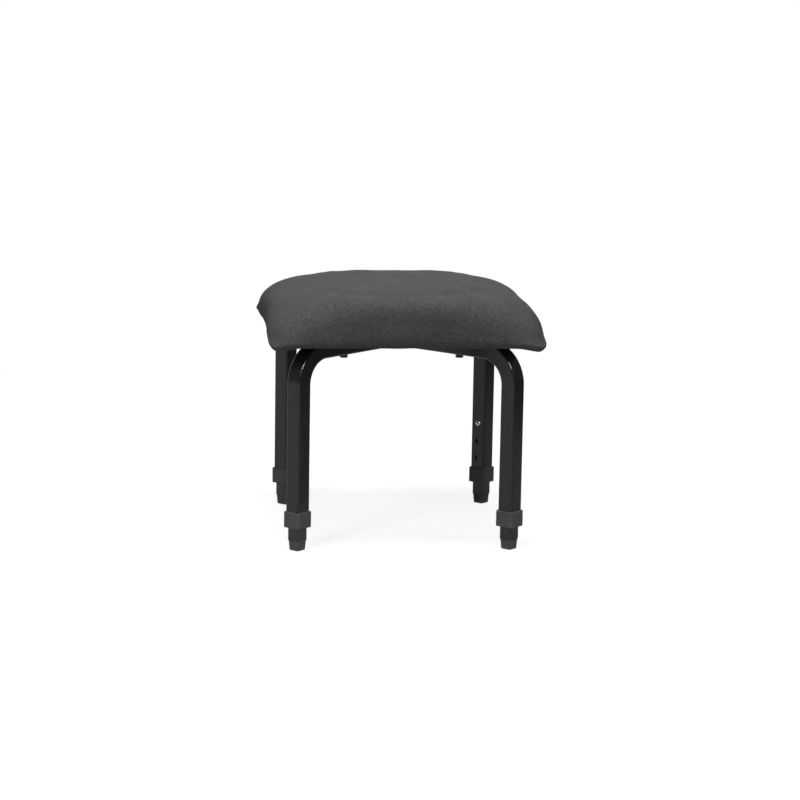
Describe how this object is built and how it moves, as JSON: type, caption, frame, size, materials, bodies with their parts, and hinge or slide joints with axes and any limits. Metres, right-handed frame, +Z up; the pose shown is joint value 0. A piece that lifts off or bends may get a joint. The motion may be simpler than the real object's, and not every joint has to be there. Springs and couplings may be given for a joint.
{
  "type": "musician stool",
  "caption": "Low square padded stool on a cross of bent square tubes, with sliding legs locked by spring buttons.",
  "frame": {"origin": "on the floor, under the middle of the seat", "axes": "+Z up through the middle of the seat, +X to the sitter's right as seen from the front, +Y to the back"},
  "size_m": [0.4032, 0.4032, 0.3772],
  "materials": {
    "frame_powder_coat": "satin",
    "leg_powder_coat": "satin",
    "collar_plastic": "matte",
    "guide_plastic": "matte",
    "foot_rubber": "matte",
    "spring_steel": "satin",
    "button_nickel": "polished",
    "zinc_plate": "satin",
    "plywood": "matte",
    "dust_cloth": "matte",
    "foam": "matte",
    "seat_cloth": "matte"
  },
  "bodies": {
    "stool": {"frame_through_tube": "frame_powder_coat", "frame_half_tube_front": "frame_powder_coat", "frame_half_tube_back": "frame_powder_coat", "frame_weld_beads": "frame_powder_coat", "seat_board": "plywood", "dust_cloth": "dust_cloth", "tee_nuts": "zinc_plate", "seat_bolts": "zinc_plate", "bolt_washers": "zinc_plate", "seat_foam": "foam", "seat_cover": "seat_cloth", "leg_collar_front_left": "collar_plastic", "leg_collar_front_right": "collar_plastic", "leg_collar_back_left": "collar_plastic", "leg_collar_back_right": "collar_plastic"},
    "leg_front_left": {"inner_leg_front_left": "leg_powder_coat", "foot_tip_front_left": "foot_rubber", "leg_guide_front_left": "guide_plastic", "leaf_spring_front_left": "spring_steel"},
    "button_front_left": {"snap_button_front_left": "button_nickel"},
    "leg_front_right": {"inner_leg_front_right": "leg_powder_coat", "foot_tip_front_right": "foot_rubber", "leg_guide_front_right": "guide_plastic", "leaf_spring_front_right": "spring_steel"},
    "button_front_right": {"snap_button_front_right": "button_nickel"},
    "leg_back_left": {"inner_leg_back_left": "leg_powder_coat", "foot_tip_back_left": "foot_rubber", "leg_guide_back_left": "guide_plastic", "leaf_spring_back_left": "spring_steel"},
    "button_back_left": {"snap_button_back_left": "button_nickel"},
    "leg_back_right": {"inner_leg_back_right": "leg_powder_coat", "foot_tip_back_right": "foot_rubber", "leg_guide_back_right": "guide_plastic", "leaf_spring_back_right": "spring_steel"},
    "button_back_right": {"snap_button_back_right": "button_nickel"}
  },
  "joints": [
    {"name": "leg_slide_front_left", "type": "slide", "parent": "stool", "child": "leg_front_left", "axis": [0, 0, -1], "range_m": [0, 0.055], "deforming": ["leaf_spring_front_left", "snap_button_front_left"]},
    {"name": "button_press_front_left", "type": "slide", "parent": "leg_front_left", "child": "button_front_left", "axis": [-0.7071, -0.7071, 0], "range_m": [0, 0.005], "stiffness_N_per_m": 1500, "deforming": ["leaf_spring_front_left"]},
    {"name": "leg_slide_front_right", "type": "slide", "parent": "stool", "child": "leg_front_right", "axis": [0, 0, -1], "range_m": [0, 0.055], "deforming": ["leaf_spring_front_right", "snap_button_front_right"]},
    {"name": "button_press_front_right", "type": "slide", "parent": "leg_front_right", "child": "button_front_right", "axis": [0.7071, -0.7071, 0], "range_m": [0, 0.005], "stiffness_N_per_m": 1500, "deforming": ["leaf_spring_front_right"]},
    {"name": "leg_slide_back_left", "type": "slide", "parent": "stool", "child": "leg_back_left", "axis": [0, 0, -1], "range_m": [0, 0.055], "deforming": ["leaf_spring_back_left", "snap_button_back_left"]},
    {"name": "button_press_back_left", "type": "slide", "parent": "leg_back_left", "child": "button_back_left", "axis": [-0.7071, 0.7071, 0], "range_m": [0, 0.005], "stiffness_N_per_m": 1500, "deforming": ["leaf_spring_back_left"]},
    {"name": "leg_slide_back_right", "type": "slide", "parent": "stool", "child": "leg_back_right", "axis": [0, 0, -1], "range_m": [0, 0.055], "deforming": ["leaf_spring_back_right", "snap_button_back_right"]},
    {"name": "button_press_back_right", "type": "slide", "parent": "leg_back_right", "child": "button_back_right", "axis": [0.7071, 0.7071, 0], "range_m": [0, 0.005], "stiffness_N_per_m": 1500, "deforming": ["leaf_spring_back_right"]}
  ]
}
